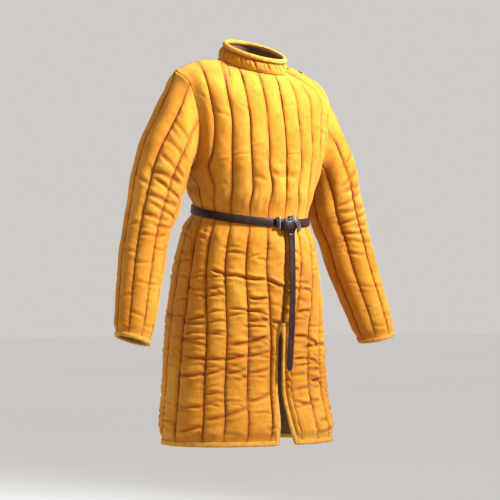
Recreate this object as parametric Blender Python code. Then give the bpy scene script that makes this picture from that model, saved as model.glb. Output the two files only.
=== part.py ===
"""A quilted gambeson in the hollow form it has when worn, with its tied leather belt.

Metres, +Z up, the front faces -Y, the wearer's left is +X. The origin is level with the
points where the shoulder seams meet the collar, on the axis of the neck.
Every panel is a wall: a plain inner surface, and an outer one raised in lengthwise
channels between lines of stitching. All is worked out for the wearer's left and mirrored.
"""
import bpy
import bmesh
import numpy as np
from math import cos, sin, pi, radians
from mathutils import Vector

# Wall of quilted cloth
STITCHED = 0.0032       # thickness on a line of stitching
PADDED = 0.0125         # thickness in the middle of a channel
FRONT_CHANNELS = 5      # from the centre front to the side seam
SLEEVE_CHANNELS = 8     # round a sleeve
STEPS = 4               # facets across a channel
SEAM_GAP = 0.0003       # between two pieces that are sewn together
BINDING = 0.0018        # thickness of the folded binding tape
HEM_BINDING = 0.010     # height of the tape on the hem and the cuffs
SLIT_BINDING = 0.015    # width of the tape along the riding slit

# Body below the arms: sections of the inner surface, from the hem up
# name, height at the side, half width, depth in front, depth behind, slope down to the front,
# fullness, and how far the stitched lines of the front lean to the slit
BODY = [
    ("hem",        -0.945, 0.228, 0.146, 0.178, 0.00, 0.92, 0.145),
    ("low skirt",  -0.885, 0.222, 0.134, 0.184, 0.00, 0.93, 0.145),
    ("thigh",      -0.815, 0.214, 0.117, 0.190, 0.00, 0.94, 0.145),
    ("slit top",   -0.680, 0.201, 0.119, 0.197, 0.02, 0.95, 0.130),
    ("hip",        -0.590, 0.187, 0.130, 0.196, 0.04, 0.96, 0.060),
    ("seat",       -0.500, 0.173, 0.134, 0.184, 0.10, 0.98, 0.010),
    ("under belt", -0.430, 0.158, 0.135, 0.157, 0.16, 1.00, 0.000),
    ("belt",       -0.377, 0.145, 0.134, 0.128, 0.20, 1.00, 0.000),
    ("over belt",  -0.345, 0.148, 0.136, 0.136, 0.16, 1.00, 0.000),
    ("ribs",       -0.310, 0.157, 0.139, 0.140, 0.08, 1.00, 0.040),
]
BELT_LEVEL = -0.377
SLIT_TOP = -0.655

# Body beside the armholes: share of the way up the armhole, then the centre front and the
# centre back (depth, height), the angle through which the section turns, and the lean again
CHEST = [
    ("armpit",      0.00, 0.140, -0.265, 0.132, -0.265, 84, 0.095),
    ("low chest",   0.25, 0.139, -0.215, 0.136, -0.212, 70, 0.010),
    ("breast",      0.50, 0.130, -0.150, 0.132, -0.145, 60, 0.000),
    ("upper chest", 0.75, 0.115, -0.085, 0.113, -0.070, 52, 0.000),
]
ARMPIT_LEVEL = -0.272
SHOULDER_LEVEL = -0.020

# Armhole: an upright oval
ARMHOLE_X = 0.2065
ARMHOLE_LEAN = 0.0165
ARMHOLE_Y = 0.010
ARMHOLE_Z = -0.153
ARMHOLE_HALF_DEPTH = 0.066
ARMHOLE_HALF_HEIGHT = 0.119

# Neckline: an oval ring that tips down to the front
NECK_HALF_WIDTH = 0.074
NECK_FRONT = 0.098
NECK_BACK = 0.078
NECK_HEIGHT = -0.002
NECK_SLOPE = 0.36
NECK_SHARE = 0.55       # of a front panel's top edge, the rest is the shoulder seam
SHOULDER_RISE = 0.014   # of the padded shoulder over the straight line
COLLAR_HEIGHT = 0.041
COLLAR_LEAN = 0.20      # of the height, inwards
COLLAR_ROWS = (0, 0.25, 0.5, 0.78, 1)

# Sleeve: the outer and the inner end of each ring, its middle, its half depth and the
# angle by which the front of the ring turns outwards
# name, outer x, outer z, inner x, inner z, middle y, half depth, turn
SLEEVE = [
    ("cap",       0.238, -0.082, 0.2110, -0.289, 0.010, 0.067, 0),
    ("flare",     0.266, -0.142, 0.2210, -0.314, 0.010, 0.067, 3),
    ("upper arm", 0.308, -0.214, 0.2270, -0.346, 0.010, 0.065, 6),
    ("bend",      0.330, -0.290, 0.2370, -0.382, 0.011, 0.061, 9),
    ("elbow",     0.356, -0.400, 0.2640, -0.438, 0.007, 0.056, 11),
    ("forearm",   0.384, -0.505, 0.2880, -0.525, -0.006, 0.053, 11),
    ("wrist",     0.408, -0.604, 0.3180, -0.618, -0.026, 0.049, 10),
    ("cuff",      0.424, -0.675, 0.3460, -0.700, -0.041, 0.043, 8),
]
SLEEVE_ROWS = 28

# Largest folds on a sleeve: share of its length, angle from the outer line towards the front,
# reach along, reach round, rise out of the wall
SLEEVE_FOLDS = [
    (0.20, 150, 0.020, 40, -0.004),
    (0.28, 95, 0.020, 45, 0.004),
    (0.35, 120, 0.022, 45, -0.004),
    (0.42, 100, 0.022, 50, 0.004),
    (0.50, 130, 0.024, 45, -0.003),
    (0.58, 80, 0.024, 45, 0.003),
]

# Belt
BELT_HEIGHT = 0.020
BELT_THICK = 0.0026
BELT_OFF = 0.0056       # from the inner surface of the body, which it draws in
TAIL_HALF_WIDTH = 0.009
TAIL_END = -0.765
KNOT_SIZE = (0.044, 0.014, 0.038)
KNOT_X = 0.006

# Tabs on the left shoulder
TAB_HALF_WIDTH = 0.0055
TAB_THICK = 0.0022
STUD_RADIUS = 0.0035
STUD_HEIGHT = 0.002

CLOTH = (0.72, 0.43, 0.10)
CLOTH_BINDING = (0.66, 0.38, 0.09)
LEATHER = (0.022, 0.014, 0.010)
METAL = (0.62, 0.60, 0.56)


def unit(v):
    return v / np.maximum(np.linalg.norm(v, axis=-1, keepdims=True), 1e-12)


def slopes(keys, points):
    """Slope of a smooth curve at each of its points."""
    keys = np.asarray(keys, float)
    out = np.zeros_like(points)
    for i in range(len(keys)):
        low, high = max(i - 1, 0), min(i + 1, len(keys) - 1)
        out[i] = (points[high] - points[low]) / (keys[high] - keys[low])
    return out


def smooth_curve(keys, points, before, after, t):
    """Point at t on a curve; before and after are its slopes on each side of a point."""
    i = int(np.clip(np.searchsorted(keys, t) - 1, 0, len(keys) - 2))
    span = keys[i + 1] - keys[i]
    u = (t - keys[i]) / span
    return ((2 * u**3 - 3 * u**2 + 1) * points[i] + (u**3 - 2 * u**2 + u) * span * after[i]
            + (3 * u**2 - 2 * u**3) * points[i + 1] + (u**3 - u**2) * span * before[i + 1])


def armhole_point(share, front):
    """Point on the armhole, from its bottom at 0 to the shoulder at 1."""
    angle = pi * (1 - share)
    way = -1 if front else 1
    return np.array([ARMHOLE_X + ARMHOLE_LEAN * cos(angle) - (0.005 if front else 0.002) * sin(angle),
                     ARMHOLE_Y + way * ARMHOLE_HALF_DEPTH * sin(angle),
                     ARMHOLE_Z + ARMHOLE_HALF_HEIGHT * cos(angle)])


def neck_point(angle):
    """Point on the neckline, from the centre front at 0 to the centre back at pi."""
    depth = NECK_FRONT if angle < pi / 2 else NECK_BACK
    y = -depth * cos(angle)
    return np.array([NECK_HALF_WIDTH * sin(angle), y, NECK_HEIGHT + NECK_SLOPE * y])


def slit_half_gap(level):
    """Half the opening of the riding slit at a level."""
    levels = [-0.945, -0.90, -0.84, -0.685, SLIT_TOP]
    gaps = [0.027, 0.016, 0.010, 0.0085, 0.0]
    return float(np.interp(level, levels, gaps))


def section_points(s, front):
    """The points where one lengthwise line of a panel crosses each section."""
    way = -1 if front else 1
    keys, points = [], []
    for _, level, half_width, in_front, behind, slope, fullness, lean in BODY:
        share = s
        if front:
            gap = slit_half_gap(level) / (half_width * pi / 2)
            share = s - lean * min(5 * s, 1) * min(5 * (1 - s), 1)
            share = gap + (1 - gap) * share
        turn = share * pi / 2
        y = way * (in_front if front else behind) * max(cos(turn), 0.0) ** fullness
        x = half_width * sin(turn) ** fullness
        keys.append(level)
        points.append([x, y, level + slope * y])
    for _, share, y_front, z_front, y_back, z_back, turn, lean in CHEST:
        edge = armhole_point(share, front)
        angle = radians(turn)
        y_centre, z_centre = (-y_front, z_front) if front else (y_back, z_back)
        shift = lean if front else 0.75 * lean
        turned = (s - shift * sin(pi * s**1.5)) * angle
        arc = (cos(turned) - cos(angle)) / (1 - cos(angle))
        keys.append(ARMPIT_LEVEL + share * (SHOULDER_LEVEL - ARMPIT_LEVEL))
        points.append([edge[0] * sin(turned) / sin(angle),
                       edge[1] + (y_centre - edge[1]) * arc,
                       z_centre + (edge[2] - z_centre) * s**2])
    side_angle = pi / 2
    if s < NECK_SHARE:
        angle = side_angle * s / NECK_SHARE
        top = neck_point(angle if front else pi - angle)
    else:
        u = (s - NECK_SHARE) / (1 - NECK_SHARE)
        top = neck_point(side_angle) * (1 - u) + armhole_point(1, front) * u
        top[2] += SHOULDER_RISE * sin(pi * u)
    keys.append(SHOULDER_LEVEL)
    points.append(top)
    return np.array(keys), np.array(points)


def body_line(s, front, levels):
    """One lengthwise line of a body panel, with a corner where the armhole starts."""
    keys, points = section_points(s, front)
    before = slopes(keys, points)
    after = before.copy()
    k = len(BODY)
    corner = s**4
    one_below = (points[k] - points[k - 1]) / (keys[k] - keys[k - 1])
    one_above = (points[k + 1] - points[k]) / (keys[k + 1] - keys[k])
    before[k] = before[k] * (1 - corner) + one_below * corner
    after[k] = after[k] * (1 - corner) + one_above * corner
    line = [smooth_curve(keys, points, before, after, t) for t in levels]
    if front:
        for point, level in zip(line, levels):
            if s == 0:
                point[0] = slit_half_gap(level)
    return np.array(line)


def grid_normals(grid, outward, ring=False):
    """Unit normals of a grid of points, turned to the side that outward(point) faces."""
    if ring:
        across = np.roll(grid, -1, 1) - np.roll(grid, 1, 1)
    else:
        across = np.gradient(grid, axis=1)
    along = np.gradient(grid, axis=0)
    normal = unit(np.cross(across, along))
    flip = np.sum(normal * outward, axis=-1) < 0
    normal[flip] *= -1
    return normal


# Levels of the rows: below the arms, then one row for each facet round the armhole
def body_levels():
    low = [-0.945, -0.945 + HEM_BINDING + 0.002, -0.895, -0.855, -0.820, -0.785, -0.750, -0.715, -0.685, SLIT_TOP - 0.012,
           SLIT_TOP, -0.625, -0.595, -0.565, -0.535, -0.505, -0.475, -0.447, -0.420, -0.402,
           BELT_LEVEL - 0.012, BELT_LEVEL + 0.012, -0.350, -0.330, -0.310, -0.290]
    half_ring = SLEEVE_CHANNELS * STEPS // 2
    high = [ARMPIT_LEVEL + (SHOULDER_LEVEL - ARMPIT_LEVEL) * i / half_ring for i in range(half_ring + 1)]
    return np.array(low + high)


LEVELS = body_levels()
ARMPIT_ROW = int(np.argmin(abs(LEVELS - ARMPIT_LEVEL)))
SLIT_ROW = int(np.argmin(abs(LEVELS - SLIT_TOP)))
COLUMNS = np.linspace(0, 1, FRONT_CHANNELS * STEPS + 1)
NECK_COLUMN = int(round(NECK_SHARE * FRONT_CHANNELS * STEPS))


def channel_rise(position):
    """0 on a line of stitching, 1 in the middle of a channel; position counts channels."""
    return np.abs(np.sin(pi * position)) ** 0.7


def fade(distance, reach):
    u = np.clip(np.abs(distance) / reach, 0, 1)
    return u * u * (3 - 2 * u)


def body_thickness(front):
    """Thickness of a body wall on its grid of rows and columns."""
    rise = np.tile(channel_rise(COLUMNS * FRONT_CHANNELS), (len(LEVELS), 1))
    if front:
        rise[:SLIT_ROW, :STEPS] = 0
    belt = fade(np.maximum(np.abs(LEVELS - BELT_LEVEL) - 0.015, 0), 0.050)
    hem = fade(np.maximum(LEVELS - LEVELS[1], 0), 0.030)
    top = fade(SHOULDER_LEVEL - LEVELS, 0.040)
    rise = rise * (belt * hem * top)[:, None]
    # The wall thins towards the armhole seam
    near = fade(np.maximum(1.04 - COLUMNS, 0) - 0.04, 0.24)
    near_armhole = np.where((LEVELS >= ARMPIT_LEVEL - 0.040)[:, None], near[None, :], 1.0)
    rise = rise * np.maximum(near_armhole, 0)
    return STITCHED + (PADDED - STITCHED) * rise


def sleeve_grid(front_edge, back_edge):
    """Grid of a sleeve; its first ring is the armhole, from the shoulder round by the front."""
    first = np.concatenate([front_edge[::-1], back_edge[1:-1]])
    count = len(first)
    rings = [first]
    for _, out_x, out_z, in_x, in_z, y, half_depth, turn in SLEEVE:
        middle = np.array([(out_x + in_x) / 2, y, (out_z + in_z) / 2])
        reach = np.array([(out_x - in_x) / 2, 0, (out_z - in_z) / 2])
        depth = half_depth * np.array([sin(radians(turn)), -cos(radians(turn)), 0])
        rings.append(np.array([middle + reach * cos(2 * pi * i / count) + depth * sin(2 * pi * i / count)
                               for i in range(count)]))
    rings = np.array(rings)
    middles = rings.mean(axis=1)
    keys = np.concatenate([[0], np.cumsum(np.linalg.norm(np.diff(middles, axis=0), axis=1))])
    slope = slopes(keys, rings)
    rows = np.append(np.linspace(0, keys[-1] - HEM_BINDING - 0.002, SLEEVE_ROWS), keys[-1])
    grid = np.array([smooth_curve(keys, rings, slope, slope, t) for t in rows])
    return grid, rows / keys[-1], grid.mean(axis=1)


def sleeve_thickness(shares, length, count):
    angles = np.arange(count) * 360 / count
    rise = np.tile(channel_rise(np.arange(count) / STEPS), (len(shares), 1))
    ends = fade(np.maximum(shares - 0.02, 0), 0.11) * fade(np.maximum(shares[-2] - shares, 0), 0.035)
    thick = STITCHED + (PADDED - STITCHED) * rise * ends[:, None]
    for share, angle, along, around, height in SLEEVE_FOLDS:
        away = (angles - angle + 180) % 360 - 180
        fold = np.exp(-((shares[:, None] - share) * length / along) ** 2 - (away[None, :] / around) ** 2)
        thick += height * fold * ends[:, None]
    return np.maximum(thick, STITCHED * 0.8)


def pull_in(grid, ring=False):
    """Draws the edges of a piece in by half the gap that a seam keeps."""
    out = grid.copy()
    out[0] += unit(grid[1] - grid[0]) * SEAM_GAP / 2
    out[-1] += unit(grid[-2] - grid[-1]) * SEAM_GAP / 2
    if not ring:
        out[:, 0] += unit(grid[:, 1] - grid[:, 0]) * SEAM_GAP / 2
        out[:, -1] += unit(grid[:, -2] - grid[:, -1]) * SEAM_GAP / 2
    return out


def mirrored(points):
    return points * np.array([-1, 1, 1])


def cloth_material(name, colour, roughness, metallic=0.0):
    mat = bpy.data.materials.new(name)
    mat.use_nodes = True
    shader = mat.node_tree.nodes["Principled BSDF"]
    shader.inputs["Base Color"].default_value = (*colour, 1)
    shader.inputs["Roughness"].default_value = roughness
    shader.inputs["Metallic"].default_value = metallic
    mat.diffuse_color = (*colour, 1)
    return mat


def add_object(name, verts, faces, look, smooth=True):
    mesh = bpy.data.meshes.new(name)
    mesh.from_pydata([tuple(v) for v in verts], [], faces)
    bm = bmesh.new()
    bm.from_mesh(mesh)
    bmesh.ops.recalc_face_normals(bm, faces=bm.faces)
    bm.to_mesh(mesh)
    bm.free()
    if smooth:
        mesh.shade_smooth()
        mesh.set_sharp_from_angle(angle=radians(50))
    obj = bpy.data.objects.new(name, mesh)
    mesh.materials.append(cloth_material(name, *look))
    collection.objects.link(obj)
    return obj


def wall(name, base, normal, thickness, look, ring=False):
    """A closed wall: fine outer grid, plain inner grid of every second point, and rims."""
    outer = base + normal * thickness[..., None]
    rows, cols = outer.shape[:2]
    inner = base[::2, ::2]
    in_rows, in_cols = inner.shape[:2]
    verts = list(outer.reshape(-1, 3)) + list(inner.reshape(-1, 3))
    start = rows * cols

    def out(r, c):
        return r * cols + c % cols

    def inn(r, c):
        return start + r * in_cols + c % in_cols

    faces = []
    for r in range(rows - 1):
        for c in range(cols if ring else cols - 1):
            faces.append((out(r, c), out(r, c + 1), out(r + 1, c + 1), out(r + 1, c)))
    for r in range(in_rows - 1):
        for c in range(in_cols if ring else in_cols - 1):
            faces.append((inn(r, c), inn(r + 1, c), inn(r + 1, c + 1), inn(r, c + 1)))

    def rim(o0, o1, o2, i0, i1, flip):
        for face in ((o0, i0, o1), (o1, i0, i1), (o1, i1, o2)):
            faces.append(face[::-1] if flip else face)

    for c in range(in_cols if ring else in_cols - 1):
        rim(out(0, 2 * c), out(0, 2 * c + 1), out(0, 2 * c + 2), inn(0, c), inn(0, c + 1), False)
        rim(out(rows - 1, 2 * c), out(rows - 1, 2 * c + 1), out(rows - 1, 2 * c + 2),
            inn(in_rows - 1, c), inn(in_rows - 1, c + 1), True)
    if not ring:
        for r in range(in_rows - 1):
            rim(out(2 * r, 0), out(2 * r + 1, 0), out(2 * r + 2, 0), inn(r, 0), inn(r + 1, 0), True)
            rim(out(2 * r, cols - 1), out(2 * r + 1, cols - 1), out(2 * r + 2, cols - 1),
                inn(r, in_cols - 1), inn(r + 1, in_cols - 1), False)
    return add_object(name, verts, faces, look)


def sweep(name, sections, look, ring=False, smooth=True):
    """A closed body through equal closed sections; sections is points[along][round]."""
    count, sides = sections.shape[:2]
    verts = list(sections.reshape(-1, 3))
    faces = []
    for i in range(count if ring else count - 1):
        j = (i + 1) % count
        for k in range(sides):
            m = (k + 1) % sides
            faces.append((i * sides + k, i * sides + m, j * sides + m, j * sides + k))
    if not ring:
        faces.append(tuple(range(sides)))
        faces.append(tuple((count - 1) * sides + k for k in reversed(range(sides))))
    return add_object(name, verts, faces, look, smooth)


def binding(name, edge, inward, normal, width, look, ring=False, lift=SEAM_GAP):
    """Folded tape round an edge of a wall: a leg on its outside and one over its rim."""
    top = STITCHED + lift
    profile = [(width, top), (-SEAM_GAP, top), (-SEAM_GAP, 0), (-BINDING, 0),
               (-BINDING, top + BINDING), (width, top + BINDING)]
    sections = np.array([[edge[i] + inward[i] * a + normal[i] * b for a, b in profile]
                         for i in range(len(edge))])
    return sweep(name, sections, look, ring)


def straight_to(normal, way):
    """The part of a direction that lies in the surface."""
    return unit(way - normal * np.sum(way * normal, axis=-1, keepdims=True))


def build_grids():
    """All grids of the wearer's left half, with normals that agree along shared seams."""
    front = np.stack([body_line(s, True, LEVELS) for s in COLUMNS], axis=1)
    back = np.stack([body_line(s, False, LEVELS) for s in COLUMNS], axis=1)
    away_from_axis = np.array([1.0, 1.0, 0.0])
    lift = np.array([0, 0, 0.04])
    front_normal = grid_normals(front, front * away_from_axis + lift)
    back_normal = grid_normals(back, back * away_from_axis + lift)
    sleeve, shares, middles = sleeve_grid(front[ARMPIT_ROW:, -1], back[ARMPIT_ROW:, -1])
    sleeve_normal = grid_normals(sleeve, sleeve - middles[:, None, :], ring=True)

    quarter = np.linspace(0, pi / 2, NECK_COLUMN + 1)
    half = np.concatenate([quarter, pi - quarter[:-1][::-1]])
    ring = np.concatenate([half, 2 * pi - half[1:-1][::-1]])
    base = np.array([neck_point(a) if a <= pi else mirrored(neck_point(2 * pi - a)) for a in ring])
    upright = unit(np.array([0.0, NECK_SLOPE * -1.0, 1.0]))
    centre = np.array([0, (NECK_BACK - NECK_FRONT) / 2, NECK_HEIGHT])
    towards = (centre - base) * np.array([1, 1, 0])
    rows = []
    for u in COLLAR_ROWS:
        rows.append(base + upright * COLLAR_HEIGHT * u + unit(towards) * COLLAR_HEIGHT * COLLAR_LEAN * u)
    collar = np.array(rows)
    collar_normal = grid_normals(collar, -np.broadcast_to(towards, collar.shape), ring=True)

    # Side seam, shoulder seam, centre lines
    side = unit(front_normal[:ARMPIT_ROW + 1, -1] + back_normal[:ARMPIT_ROW + 1, -1])
    front_normal[:ARMPIT_ROW + 1, -1] = side
    back_normal[:ARMPIT_ROW + 1, -1] = side
    shoulder = unit(front_normal[-1, NECK_COLUMN:] + back_normal[-1, NECK_COLUMN:])
    front_normal[-1, NECK_COLUMN:] = shoulder
    back_normal[-1, NECK_COLUMN:] = shoulder
    front_normal[SLIT_ROW:, 0, 0] = 0
    back_normal[:, 0, 0] = 0
    front_normal[:, 0] = unit(front_normal[:, 0])
    back_normal[:, 0] = unit(back_normal[:, 0])

    # Armhole: front edge, back edge and the sleeve's first ring
    half_ring = SLEEVE_CHANNELS * STEPS // 2
    joint = unit(np.concatenate([front_normal[ARMPIT_ROW:, -1][::-1], back_normal[ARMPIT_ROW + 1:-1, -1]])
                 + sleeve_normal[0])
    sleeve_normal[0] = joint
    front_normal[ARMPIT_ROW:, -1] = joint[:half_ring + 1][::-1]
    back_normal[ARMPIT_ROW:, -1] = np.concatenate([joint[half_ring:], joint[:1]])

    # Neckline: the collar's first ring and the top edges of front and back
    count = len(ring)
    top = np.concatenate([front_normal[-1, :NECK_COLUMN + 1], back_normal[-1, :NECK_COLUMN][::-1]])
    whole = np.concatenate([top, mirrored(top[1:-1][::-1])])
    joint = unit(whole + collar_normal[0])
    collar_normal[0] = joint
    front_normal[-1, :NECK_COLUMN + 1] = joint[:NECK_COLUMN + 1]
    back_normal[-1, :NECK_COLUMN + 1] = joint[NECK_COLUMN:count // 2 + 1][::-1]
    return dict(front=front, back=back, front_normal=front_normal, back_normal=back_normal,
                sleeve=sleeve, sleeve_normal=sleeve_normal, shares=shares, middles=middles,
                collar=collar, collar_normal=collar_normal)


def build_panels(g):
    look = (CLOTH, 0.9)
    front, front_normal = pull_in(g["front"]), g["front_normal"]
    thick = body_thickness(True)
    wall("front_left", front, front_normal, thick, look)
    wall("front_right", mirrored(front), mirrored(front_normal), thick, look)
    whole = np.concatenate([mirrored(g["back"][:, ::-1]), g["back"][:, 1:]], axis=1)
    whole_normal = np.concatenate([mirrored(g["back_normal"][:, ::-1]), g["back_normal"][:, 1:]], axis=1)
    thick = body_thickness(False)
    wall("back", pull_in(whole), whole_normal, np.concatenate([thick[:, ::-1], thick[:, 1:]], axis=1), look)


def build_sleeves(g):
    grid = pull_in(g["sleeve"], ring=True)
    length = float(np.linalg.norm(np.diff(g["middles"], axis=0), axis=1).sum())
    thick = sleeve_thickness(g["shares"], length, grid.shape[1])
    tape = g["sleeve"][-1]
    normal = g["sleeve_normal"][-1]
    inward = straight_to(normal, unit(g["sleeve"][-2] - tape))
    for name, turn in (("left", lambda p: p), ("right", mirrored)):
        wall("sleeve_" + name, turn(grid), turn(g["sleeve_normal"]), thick, (CLOTH, 0.9), ring=True)
        binding("cuff_binding_" + name, turn(tape), turn(inward), turn(normal), HEM_BINDING,
                (CLOTH_BINDING, 0.85), ring=True)


def build_collar(g):
    grid = pull_in(g["collar"], ring=True)
    rise = np.array([0, 0.8, 1, 0, 0])
    thick = STITCHED + (0.008 - STITCHED) * np.tile(rise[:, None], (1, grid.shape[1]))
    wall("collar", grid, g["collar_normal"], thick, (CLOTH, 0.9), ring=True)
    top, normal = g["collar"][-1], g["collar_normal"][-1]
    inward = straight_to(normal, unit(g["collar"][-2] - top))
    binding("collar_binding", top, inward, normal, 0.006, (CLOTH_BINDING, 0.85), ring=True)


def build_bindings(g):
    look = (CLOTH_BINDING, 0.85)
    for side, turn in (("left", lambda p: p), ("right", mirrored)):
        edge, normal = g["front"][0, STEPS:], g["front_normal"][0, STEPS:]
        inward = straight_to(normal, unit(g["front"][1, STEPS:] - edge))
        edge = edge.copy()
        edge[-1] += unit(edge[-2] - edge[-1]) * SEAM_GAP / 2
        binding("hem_binding_front_" + side, turn(edge), turn(inward), turn(normal), HEM_BINDING, look)
        edge, normal = g["front"][:SLIT_ROW, 0], g["front_normal"][:SLIT_ROW, 0]
        inward = straight_to(normal, unit(g["front"][:SLIT_ROW, 1] - edge))
        binding("slit_binding_" + side, turn(edge), turn(inward), turn(normal), SLIT_BINDING, look,
                lift=2.5 * SEAM_GAP)
    edge = np.concatenate([mirrored(g["back"][0, ::-1]), g["back"][0, 1:]])
    normal = np.concatenate([mirrored(g["back_normal"][0, ::-1]), g["back_normal"][0, 1:]])
    above = np.concatenate([mirrored(g["back"][1, ::-1]), g["back"][1, 1:]])
    inward = straight_to(normal, unit(above - edge))
    edge[0] += unit(edge[1] - edge[0]) * SEAM_GAP / 2
    edge[-1] += unit(edge[-2] - edge[-1]) * SEAM_GAP / 2
    binding("hem_binding_back", edge, inward, normal, HEM_BINDING, look)


def belt_ring(level, off):
    """Points round the waist at a level, moved out from the inner surface of the body."""
    half_front = np.array([body_line(s, True, [level])[0] for s in COLUMNS])
    half_back = np.array([body_line(s, False, [level])[0] for s in COLUMNS])
    half = np.concatenate([half_front, half_back[:-1][::-1]])
    ring = np.concatenate([half, mirrored(half[1:-1][::-1])])
    across = np.roll(ring, -1, 0) - np.roll(ring, 1, 0)
    normal = unit(np.cross(across, np.array([0.0, 0.0, 1.0])))
    normal[np.sum(normal * ring, axis=1) < 0] *= -1
    return ring + normal * off


def box(name, size, place, look, turn=0.0, bevel=0.001, segments=2):
    bm = bmesh.new()
    bmesh.ops.create_cube(bm, size=1)
    for v in bm.verts:
        v.co = [v.co[i] * size[i] for i in range(3)]
    bmesh.ops.bevel(bm, geom=list(bm.edges), offset=bevel, segments=segments, profile=0.6, affect="EDGES")
    mesh = bpy.data.meshes.new(name)
    bm.to_mesh(mesh)
    bm.free()
    obj = bpy.data.objects.new(name, mesh)
    obj.location = place
    obj.rotation_euler = (0, turn, 0)
    mesh.materials.append(cloth_material(name, *look))
    collection.objects.link(obj)
    return obj


def build_belt():
    leather = (LEATHER, 0.45)
    half = BELT_HEIGHT / 2
    rings = [belt_ring(BELT_LEVEL + dz, off) for dz, off in
             ((-half, BELT_OFF), (-half, BELT_OFF + BELT_THICK), (half, BELT_OFF + BELT_THICK), (half, BELT_OFF))]
    sweep("belt", np.stack(rings, axis=1), leather, ring=True)
    face = belt_ring(BELT_LEVEL, BELT_OFF + BELT_THICK)[0]
    face_y, face_z = face[1], face[2]

    # Knot: three folds of the strap, one over the other two
    knot_y = face_y - KNOT_SIZE[1] / 2 - 0.0006
    box("belt_knot", KNOT_SIZE, (KNOT_X, knot_y, face_z - 0.004), leather, 0.10, 0.005)
    frame_x = KNOT_X - KNOT_SIZE[0] / 2 - 0.0045
    box("belt_buckle", (0.006, 0.004, 0.030), (frame_x, face_y - 0.0034, face_z), (METAL, 0.25, 1.0), 0, 0.0012, 1)
    box("belt_keeper", (0.008, 0.003, 0.026), (frame_x - 0.0073, face_y - 0.0030, face_z + 0.001), leather, 0, 0.0008, 1)

    # Tail: a flat strap that hangs from the knot to a rounded tip
    top = face_z - 0.004 - KNOT_SIZE[2] / 2 - 0.0018
    tail_y = knot_y - 0.001
    length = top - TAIL_END
    rows = []
    for u in np.concatenate([np.linspace(0, 0.94, 11), [0.965, 0.985, 1.0]]):
        z = top - length * u
        from_tip = length * (1 - u)
        wide = TAIL_HALF_WIDTH * np.sqrt(max(1 - max(1 - from_tip / 0.016, 0) ** 2, 0.06))
        x = KNOT_X + 0.005 - 0.008 * u**2
        y = tail_y - 0.005 * sin(pi * u)
        rows.append([(x - wide, y, z), (x + wide, y, z), (x + wide, y - BELT_THICK, z), (x - wide, y - BELT_THICK, z)])
    sweep("belt_tail", np.array(rows), leather)


def build_shoulder_tabs(g):
    """Two leather tabs with studs that close the left shoulder seam."""
    thick = {"front": body_thickness(True), "back": body_thickness(False)}
    for number, column in (("1", NECK_COLUMN + 2), ("2", NECK_COLUMN + 5)):
        sections = []
        for name, rows in (("front", (-1.5, -1)), ("back", (-2, -3))):
            for place in rows:
                r = int(place)
                point, normal = g[name][r, column], g[name + "_normal"][r, column]
                if place != r:
                    point = (point + g[name][r - 1, column]) / 2
                    normal = unit(normal + g[name + "_normal"][r - 1, column])
                under = thick[name][r, column - 1:column + 2]
                if place != r:
                    under = (under + thick[name][r - 1, column - 1:column + 2]) / 2
                off = 0.45 * under[1] + 0.55 * under.max() + 2 * SEAM_GAP
                low, high = point + normal * off, point + normal * (off + TAB_THICK)
                way = straight_to(normal, g[name][r, column + 1] - g[name][r, column - 1]) * TAB_HALF_WIDTH
                sections.append([low - way, low + way, high + way, high - way])
                if r == -2:
                    stud_place, stud_normal = high + normal * 2.5 * SEAM_GAP, normal
        sweep("shoulder_tab_" + number, np.array(sections), (LEATHER, 0.5))
        bm = bmesh.new()
        bmesh.ops.create_cone(bm, cap_ends=True, segments=12, radius1=STUD_RADIUS,
                              radius2=STUD_RADIUS * 0.6, depth=STUD_HEIGHT)
        mesh = bpy.data.meshes.new("shoulder_stud_" + number)
        bm.to_mesh(mesh)
        bm.free()
        stud = bpy.data.objects.new("shoulder_stud_" + number, mesh)
        stud.rotation_euler = Vector(stud_normal).to_track_quat("Z", "Y").to_euler()
        stud.location = Vector(stud_place) + Vector(stud_normal) * STUD_HEIGHT / 2
        mesh.materials.append(cloth_material(stud.name, METAL, 0.3, 1.0))
        collection.objects.link(stud)


for existing in list(bpy.data.objects):
    bpy.data.objects.remove(existing, do_unlink=True)
collection = bpy.data.collections.new("gambeson")
bpy.context.scene.collection.children.link(collection)
grids = build_grids()
build_panels(grids)
build_sleeves(grids)
build_collar(grids)
build_bindings(grids)
build_belt()
build_shoulder_tabs(grids)
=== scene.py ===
"""Looks of the quilted gambeson: fine padded cloth, creases, tapes, leather and stitching.

The cloth is worked out from the same sections as the solids, on a finer grid. Metres,
+Z up, the front faces -Y, the wearer's left is +X.
"""
import bpy
import bmesh
import numpy as np
from math import cos, sin, pi, radians
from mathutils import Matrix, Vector


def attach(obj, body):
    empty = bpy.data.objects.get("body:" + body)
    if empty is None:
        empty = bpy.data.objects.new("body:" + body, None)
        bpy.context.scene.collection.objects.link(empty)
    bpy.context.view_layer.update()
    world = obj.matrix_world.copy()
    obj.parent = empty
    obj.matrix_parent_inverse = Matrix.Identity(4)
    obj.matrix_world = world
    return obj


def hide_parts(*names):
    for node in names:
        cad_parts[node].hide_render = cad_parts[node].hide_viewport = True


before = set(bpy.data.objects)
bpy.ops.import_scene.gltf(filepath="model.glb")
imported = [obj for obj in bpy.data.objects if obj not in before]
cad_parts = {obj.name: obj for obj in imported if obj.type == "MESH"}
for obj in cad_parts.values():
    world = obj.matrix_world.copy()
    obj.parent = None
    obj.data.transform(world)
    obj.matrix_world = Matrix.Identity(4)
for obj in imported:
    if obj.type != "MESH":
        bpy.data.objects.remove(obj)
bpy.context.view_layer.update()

# Wall of quilted cloth
STITCHED = 0.0032  # thickness on a line of stitching
PADDED = 0.0125  # thickness in the middle of a channel
FRONT_CHANNELS = 5  # from the centre front to the side seam
SLEEVE_CHANNELS = 8  # round a sleeve
STEPS = 24  # facets across a channel of the body
SLEEVE_STEPS = 26  # facets across a channel of a sleeve
INNER_STEP = 4  # facets of the outer surface to one of the inner
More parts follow.
